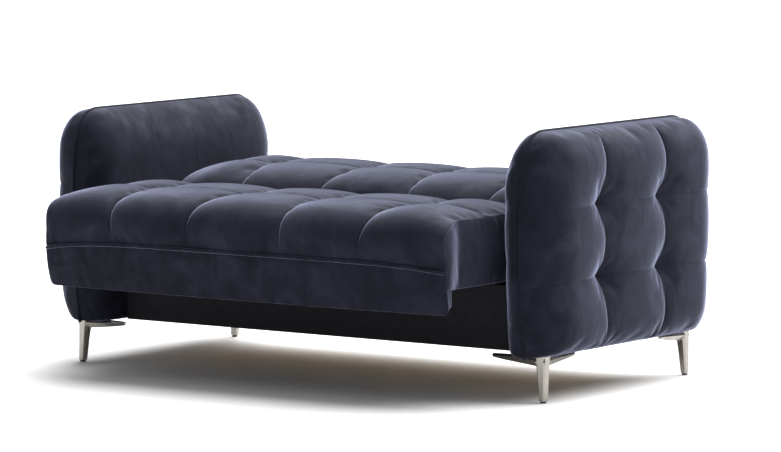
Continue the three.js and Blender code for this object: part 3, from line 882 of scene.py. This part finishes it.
def arm_map(low, high, columns, rows):
    """A grid in (Y, Z) that fills the arm's outline, its lines straight in the middle.

    Also returns each line's distance from the nearer end, from the foot and from the top.
    """
    edge, over, middle = arm_outline(low, high)
    u = (columns - columns[0]) / (columns[-1] - columns[0])
    v = (rows - rows[0]) / (rows[-1] - rows[0])
    whole_top = chain(over, (over[::-1] * [-1, 1] + [2 * middle, 0]))
    y = middle + (columns[None, :] - (columns[0] + columns[-1]) / 2) + 0 * v[:, None]
    z = rows[:, None] + 0 * u[None, :]
    flat = np.stack([y, z], axis=2)
    left = walk(edge, v) - flat[:, 0]
    right = walk(edge, v) * [-1, 1] + [2 * middle, 0] - flat[:, -1]
    upper = walk(whole_top, u) - flat[-1]
    lower = np.linspace(edge[0], edge[0] * [-1, 1] + [2 * middle, 0], 2)
    lower = walk(lower, u) - flat[0]
    fade = 2.2
    wl, wr = ((1 - u) ** fade)[None, :, None], (u ** fade)[None, :, None]
    wb, wt = ((1 - v) ** fade)[:, None, None], (v ** fade)[:, None, None]
    moved = wl * left[:, None] + wr * right[:, None] + wb * lower[None] + wt * upper[None]
    for wu, wv, corner in ((wl, wb, left[0]), (wr, wb, right[0]), (wl, wt, left[-1]), (wr, wt, right[-1])):
        moved -= wu * wv * corner
    across = (high.y - low.y) * np.minimum(u, 1 - u)[None, :]
    up, down = ((high.z - low.z) * share[:, None] for share in (v, 1 - v))
    return flat + moved, across, up, down


def margin(distance, width, start=0.0):
    """A quarter-ellipse shoulder: start at the edge, 1 beyond width."""
    t = np.clip(distance / width, 0, 1)
    return start + (1 - start) * np.sqrt(np.clip(1 - (1 - t) ** 2, 0, 1))


def tuft_pull(dy, dz, number, depth):
    """Depth of an arm tuft round its centre: a pit, four wide folds and some small creases."""
    reach = np.hypot(dy, dz)
    angle = np.arctan2(dz, dy)
    pull = depth * (0.55 * np.exp(-reach / 0.020) + 0.45 * np.exp(-(reach / 0.060) ** 1.6))
    folds = (0.5 + 0.5 * np.cos(4 * angle)) ** 3
    pull += 0.006 * folds * np.exp(-reach / 0.055) * ease(0.0, 0.02, reach)
    creases = 0.5 + 0.5 * np.cos(9 * angle + 2.1 * number)
    pull += 0.0018 * creases * np.exp(-reach / 0.035) * ease(0.004, 0.02, reach)
    return pull


def outer_face(low, high, sizes):
    """The tufted outer face of an arm as a grid of (depth, Y, Z), and its held points."""
    middle = (low.y + high.y) / 2
    columns, _, share_u = stations(
        [low.y, middle - ARM_TUFT_Y, middle + ARM_TUFT_Y, high.y], sizes.grid_step, 0.09)
    rows, _, share_v = stations([low.z, *ARM_TUFT_Z, high.z], sizes.grid_step, 0.09)
    plane, across, up, down = arm_map(low, high, columns, rows)
    depth = high.x - low.x - ARM_TUCK
    dome = margin(across, 0.115) * margin(up, 0.085, 0.42) * margin(down, 0.100)
    y, z = plane[..., 0], plane[..., 1]
    inside = ease(0.2, 0.9, dome)
    stuffed = crown(share_u, 0.5, 0.5)[None, :] * crown(share_v, 0.5, 0.5)[:, None]
    x = depth * dome - ARM_PUFF * inside + ARM_PUFF * stuffed * inside
    centres = [(tuft_z, tuft_y) for tuft_z in ARM_TUFT_Z for tuft_y in (-ARM_TUFT_Y, ARM_TUFT_Y)]
    for number, (tuft_z, tuft_y) in enumerate(centres):
        j = int(np.argmin(np.abs(rows - tuft_z)))
        i = int(np.argmin(np.abs(columns - middle - tuft_y)))
        x = x - tuft_pull(y - y[j, i], z - z[j, i], number, sizes.arm_tuft_depth)
    on_u = ((share_u == 0) | (share_u == 1))[None, :]
    on_v = ((share_v == 0) | (share_v == 1))[:, None]
    held = np.where(on_u | on_v, 0.25, 0.0)
    held = np.where(on_u & on_v, 1.0, held)
    held[0, :] = held[-1, :] = held[:, 0] = held[:, -1] = 1
    return np.stack([x, y, z], axis=2), held


def inner_face(low, high):
    """The plain inner face of an arm as a grid of (depth, Y, Z), and its held points."""
    columns, _, _ = stations([low.y, high.y], 0.014, 0.11)
    rows, _, _ = stations([low.z, high.z], 0.013, 0.08)
    plane, across, up, down = arm_map(low, high, columns, rows)
    depth = high.x - low.x - ARM_TUCK
    dome = margin(across, 0.110) * margin(down, 0.150) ** 1.4 * margin(up, 0.012, 0.90)
    held = np.zeros(dome.shape)
    held[0, :] = held[-1, :] = held[:, 0] = held[:, -1] = 1
    return np.stack([(depth - 0.002) * dome, plane[..., 0], plane[..., 1]], axis=2), held


def arm_rings(face):
    """Rings that turn an arm cover's edge into the welt's groove and the underside."""
    edge = rim(face)
    count = face.shape[1] - 1
    inward = np.zeros_like(edge)
    middle = edge[:, 1:].mean(axis=0)
    toward = middle - edge[:, 1:]
    toward /= np.linalg.norm(toward, axis=1)[:, None]
    inward[:, 1:] = toward
    inward[1:count, 1:] = (0, 1)
    rings = []
    for t, dip in ((0.15, 0.0), (0.4, 0.0005), (0.7, 0.002), (1.0, 0.005)):
        ring = edge + inward * dip
        ring[:, 0] = edge[:, 0] * (1 - t) - ARM_TUCK * t
        below = np.zeros(len(edge), bool)
        below[:count + 1] = True
        ring[below, 2] = edge[below, 2] + dip * 0.2
        rings.append(ring)
    return rings


def arm_cover(name, face, held, sign, plane_x, facing, limit, context):
    """Makes one arm cover. facing is 1 for the outer face."""
    rings = arm_rings(face)
    points, faces = sewn(face, rings)
    grip = np.concatenate([held.ravel(), np.ones(len(rings[0]) * len(rings))])
    points[:, 0] = sign * (plane_x + facing * (points[:, 0] + ARM_TUCK))
    if sign * facing < 0:
        faces = faces[:, ::-1]
    upholster(f"{name}_cover", "base", f"{name}_pad", 0.75, points, faces, grip,
              np.full(len(points), limit), context)


class SOFA_OT_arm_covers(Operator):
    """Tufted outer and plain inner velvet covers of both arms"""

    bl_idname = "sofa.arm_covers"
    bl_label = "Arm Covers"

    def execute(self, context):
        sizes = context.scene.sofa_sizes
        for side, sign in SIDES:                      # both are cut to the right arm and mirrored
            low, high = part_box("arm_right_outer_pad")
            face, held = outer_face(low, high, sizes)
            arm_cover(f"arm_{side}_outer", face, held, sign, low.x, 1, sizes.swell_limit * 0.6, context)
            low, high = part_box("arm_right_inner_pad")
            face, held = inner_face(low, high)
            arm_cover(f"arm_{side}_inner", face, held, sign, high.x, -1, sizes.swell_limit * 0.4, context)
        return {"FINISHED"}


class SOFA_OT_arm_welts(Operator):
    """Velvet-covered cord sewn between the inner and outer cover of each arm"""

    bl_idname = "sofa.arm_welts"
    bl_label = "Arm Welts"

    def execute(self, context):
        sizes = context.scene.sofa_sizes
        low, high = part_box("arm_right_outer_pad")
        edge, over, middle = arm_outline(low, high, sizes.welt_radius * 0.3)
        half = chain(edge, over)
        line = chain(half, half[::-1] * [-1, 1] + [2 * middle, 0])
        line = walk(line, np.linspace(0, 1, 260))
        for side, sign in SIDES:
            path = np.stack([np.full(len(line), sign * low.x), line[:, 0], line[:, 1]], axis=1)
            # the welt's velvet has painted shade in its base colour
            cord(f"arm_{side}_welt", path, sizes.welt_radius, shaded_welt_velvet(context), "base")
        return {"FINISHED"}


# ---- frame finishes --------------------------------------------------------------------

def dress(node, material, bevel=0.0, segments=2):
    """Gives a frame node its finish, and breaks its edges."""
    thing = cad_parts[node]
    thing.data.materials.clear()
    thing.data.materials.append(material)
    if bevel:
        edge = thing.modifiers.new("Broken edges", "BEVEL")
        edge.width = bevel
        edge.segments = segments
        edge.limit_method = "ANGLE"
        edge.angle_limit = math.radians(25)
        edge.harden_normals = True


def dress_all(words, material, bevel, segments=2):
    """Dresses each frame node whose name holds one of the words."""
    names = [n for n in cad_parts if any(w in n for w in words)]
    if not names:
        raise RuntimeError(f"the frame has no node for {words}")
    for name in names:
        dress(name, material, bevel, segments)


class SOFA_OT_legs(Operator):
    """Satin nickel corner legs with nylon glides"""

    bl_idname = "sofa.legs"
    bl_label = "Legs"

    def execute(self, context):
        sizes = context.scene.sofa_sizes
        colours = context.scene.sofa_colours
        dress_all(["leg_"], finish("satin_nickel_plate", satin_nickel, colours), sizes.metal_edge * 2, 3)
        dress_all(["foot_glide"], finish("moulded_nylon", moulded_nylon, colours), sizes.metal_edge, 3)
        return {"FINISHED"}


class SOFA_OT_storage_box(Operator):
    """Cloth-covered boards of the storage box and its plywood floor"""

    bl_idname = "sofa.storage_box"
    bl_label = "Storage Box"

    def execute(self, context):
        colours = context.scene.sofa_colours
        dress_all(["_panel"], finish("box_twill", twill, colours), 0.0016, 3)
        dress_all(["box_floor"], finish("birch_plywood", birch_ply, colours), 0.0005)
        return {"FINISHED"}


class SOFA_OT_timber_frames(Operator):
    """Pine and plywood of the arm, seat and back frames, and the dust covers under them"""

    bl_idname = "sofa.timber_frames"
    bl_label = "Timber Frames"

    def execute(self, context):
        colours = context.scene.sofa_colours
        dress_all(["_rail", "_post"], finish("planed_pine", pine, colours), 0.0015)
        dress_all(["_deck"], finish("birch_plywood", birch_ply, colours), 0.0005)
        dress_all(["_lining"], lining(context), 0.0004)
        return {"FINISHED"}


class SOFA_OT_mechanism(Operator):
    """Zinc-plated hinge plates, pivots, slides, cross tube and bolts"""

    bl_idname = "sofa.mechanism"
    bl_label = "Mechanism"

    def execute(self, context):
        sizes = context.scene.sofa_sizes
        steel = finish("zinc_plated_steel", zinc_steel, context.scene.sofa_colours)
        dress_all(["hinge", "pivot_pin", "slide", "cross_tube", "arm_bolt"], steel, sizes.metal_edge * 0.6)
        return {"FINISHED"}


# ---- stage -----------------------------------------------------------------------------

def soft_sun(name, toward, strength, spread):
    """Light from a large distant softbox that stands in a direction."""
    data = bpy.data.lights.new(name, "SUN")
    data.energy = strength
    data.angle = spread
    lamp = bpy.data.objects.new(name, data)
    bpy.context.scene.collection.objects.link(lamp)
    lamp.location = Vector(toward).normalized() * 4
    lamp.rotation_euler = Vector(toward).to_track_quat("Z", "Y").to_euler()


def studio_world(strength):
    """Soft room light, brighter from above than from the sides."""
    world = bpy.data.worlds.new("studio_room")
    bpy.context.scene.world = world
    world.use_nodes = True
    tree = world.node_tree
    tree.nodes.clear()
    height = add_node(tree, "ShaderNodeSeparateXYZ", {
        "Vector": add_node(tree, "ShaderNodeTexCoord").outputs["Generated"]})
    tone = ramp(tree, height.outputs["Z"], [
        (0.0, linear("#8f9198")), (0.35, linear("#c9cbd0")), (1.0, linear("#ffffff"))])
    glow = add_node(tree, "ShaderNodeBackground", {"Color": tone, "Strength": strength})
    add_node(tree, "ShaderNodeOutputWorld", {"Surface": glow.outputs["Background"]})


def place_camera(target, azimuth, elevation, distance, lens):
    """Looks at a point from an azimuth round from the front and an elevation above it."""
    data = bpy.data.cameras.new("studio_camera")
    data.lens = lens
    data.sensor_width = 36.0
    data.clip_start, data.clip_end = 0.1, 200.0
    camera = bpy.data.objects.new("studio_camera", data)
    bpy.context.scene.collection.objects.link(camera)
    away = Vector((math.sin(azimuth) * math.cos(elevation),
                   -math.cos(azimuth) * math.cos(elevation), math.sin(elevation)))
    camera.location = Vector(target) + away * distance
    camera.rotation_euler = away.to_track_quat("Z", "Y").to_euler()
    bpy.context.scene.camera = camera


class SOFA_OT_stage(Operator):
    """Pale floor, soft lights and camera"""

    bl_idname = "sofa.stage"
    bl_label = "Stage"

    def execute(self, context):
        stage = context.scene.sofa_stage
        colours = context.scene.sofa_colours
        half = stage.floor_size / 2
        corners = [(-half, -half, 0), (half, -half, 0), (half, half, 0), (-half, half, 0)]
        floor = mesh_piece("studio_floor", corners, [(0, 1, 2, 3)],
                           finish("studio_vinyl", studio_vinyl, colours))
        studio_world(stage.room_light)
        feet = [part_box(f"leg_{end}_right") for end in ENDS]
        middle = (feet[0][0].y + feet[1][1].y) / 2
        soft_sun("overhead_softbox", SOFTBOX_TOWARD, stage.overhead_power, stage.softness)
        place_camera((AIM_X, middle, AIM_Z), stage.azimuth, stage.elevation, stage.distance, stage.lens)
        context.scene.view_settings.view_transform = "Standard"
        return {"FINISHED"}


# ---- properties, panel and run ---------------------------------------------------------

def length(name, description, default, low=0.0, high=1.0):
    return FloatProperty(name=name, description=description, default=default, min=low, max=high,
                         unit="LENGTH", subtype="DISTANCE", precision=4)


def colour(name, description, code):
    """A colour property with an sRGB hex default."""
    return FloatVectorProperty(name=name, description=description, default=linear(code)[:3],
                               size=3, min=0.0, max=1.0, subtype="COLOR")


class SofaSizes(PropertyGroup):
    """Sizes of the upholstery"""

    channel_rise: length("Channel rise", "How far a channel stands above its seams", 0.017)
    back_rise: length("Back rise", "How far a channel of the back stands above its seams", 0.012)
    tuft_dip: length("Tuft dip", "Extra depth of the tufts in the seat and back", 0.007)
    arm_tuft_depth: length("Arm tuft depth", "Depth of the tufts in the outer arms", 0.040)
    welt_radius: length("Welt radius", "Radius of the cord round each arm", 0.0065)
    piping_radius: length("Piping radius", "Radius of the cord along the seat's front", 0.0045)
    metal_edge: length("Metal edge", "Rounding of plated edges", 0.0007)
    grid_step: length("Cloth step", "Average distance between points of a cover", 0.011, 0.004, 0.05)
    swell_limit: length("Swell limit", "Furthest that the simulation may move the cloth", 0.006)
    cloth_pressure: FloatProperty(name="Pressure", description="Push of the filling in the cloth simulation",
                                  default=4.0, min=0.0, max=50.0)
    cloth_ease: FloatProperty(name="Ease", description="Spare cloth, as a share of its length",
                              default=0.02, min=0.0, max=0.3, subtype="FACTOR")
    cloth_frames: IntProperty(name="Frames", description="Steps of the cloth simulation",
                              default=16, min=2, max=60)


class SofaColours(PropertyGroup):
    """Colours of the finishes"""

    velvet: colour("Velvet", "Pile seen face on", "#181924")
    velvet_deep: colour("Velvet, brushed away", "Pile leaning away from the eye", "#14151f")
    velvet_bloom: colour("Velvet, brushed up", "Pile leaning to the eye", "#1e202d")
    velvet_sheen: colour("Velvet sheen", "Light caught by the tips of the pile", "#ced4f6")
    box_cloth: colour("Box cloth", "Twill on the storage box", "#19181d")
    lining: colour("Lining", "Dust cover", "#1a1a1e")
    pine: colour("Pine", "Frame timber", "#c3ab86")
    plywood: colour("Plywood", "Deck and box floor", "#a8947a")
    nickel: colour("Nickel", "Plated legs", "#938f89")
    zinc: colour("Zinc", "Mechanism", "#a9adb2")
    nylon: colour("Nylon", "Glides", "#141415")
    floor: colour("Floor", "Studio floor", "#e2e2e2")


class SofaStage(PropertyGroup):
    """Camera and light"""

    azimuth: FloatProperty(name="Azimuth", description="Camera's turn round from the front",
                           default=math.radians(34.85), subtype="ANGLE")
    elevation: FloatProperty(name="Elevation", description="Camera's height as an angle",
                             default=math.radians(5.51), subtype="ANGLE")
    distance: length("Distance", "Camera to the bed", 12.98, 1.0, 100.0)
    lens: FloatProperty(name="Lens", description="Focal length in millimetres",
                        default=216.46, min=10.0, max=500.0)
    floor_size: length("Floor size", "Side of the floor", 160.0, 5.0, 500.0)
    room_light: FloatProperty(name="Room light", description="Strength of the light from all round",
                              default=0.64, min=0.0, max=10.0)
    overhead_power: FloatProperty(name="Overhead", description="Strength of the overhead softbox",
                                  default=8.8, min=0.0, max=50.0)
    softness: FloatProperty(name="Softness", description="Spread of the overhead softbox, seen from the bed",
                            default=math.radians(75), min=0.0, max=math.pi, subtype="ANGLE")


OPERATORS = (SOFA_OT_seat_cover, SOFA_OT_seat_border, SOFA_OT_back_cover, SOFA_OT_arm_covers,
             SOFA_OT_arm_welts, SOFA_OT_legs, SOFA_OT_storage_box, SOFA_OT_timber_frames,
             SOFA_OT_mechanism, SOFA_OT_stage)


class SOFA_PT_parts(Panel):
    """Lists the parts of the sofa bed"""

    bl_idname = "SOFA_PT_parts"
    bl_label = "Sofa Bed"
    bl_space_type = "VIEW_3D"
    bl_region_type = "UI"
    bl_category = "Sofa Bed"

    def draw(self, context):
        for part in OPERATORS:
            self.layout.operator(part.bl_idname)
        for group in ("sofa_sizes", "sofa_colours", "sofa_stage"):
            values = getattr(context.scene, group)
            box = self.layout.box()
            for name in values.bl_rna.properties.keys():
                if name not in ("rna_type", "name"):
                    box.prop(values, name)


CLASSES = (SofaSizes, SofaColours, SofaStage, *OPERATORS, SOFA_PT_parts)


def register():
    for item in CLASSES:
        bpy.utils.register_class(item)
    bpy.types.Scene.sofa_sizes = PointerProperty(type=SofaSizes)
    bpy.types.Scene.sofa_colours = PointerProperty(type=SofaColours)
    bpy.types.Scene.sofa_stage = PointerProperty(type=SofaStage)


def unregister():
    for group in ("sofa_sizes", "sofa_colours", "sofa_stage"):
        delattr(bpy.types.Scene, group)
    for item in reversed(CLASSES):
        bpy.utils.unregister_class(item)


def main():
    """Makes every piece."""
    register()
    for part in OPERATORS:
        group, _, name = part.bl_idname.partition(".")
        getattr(getattr(bpy.ops, group), name)()


if __name__ == "__main__":
    main()
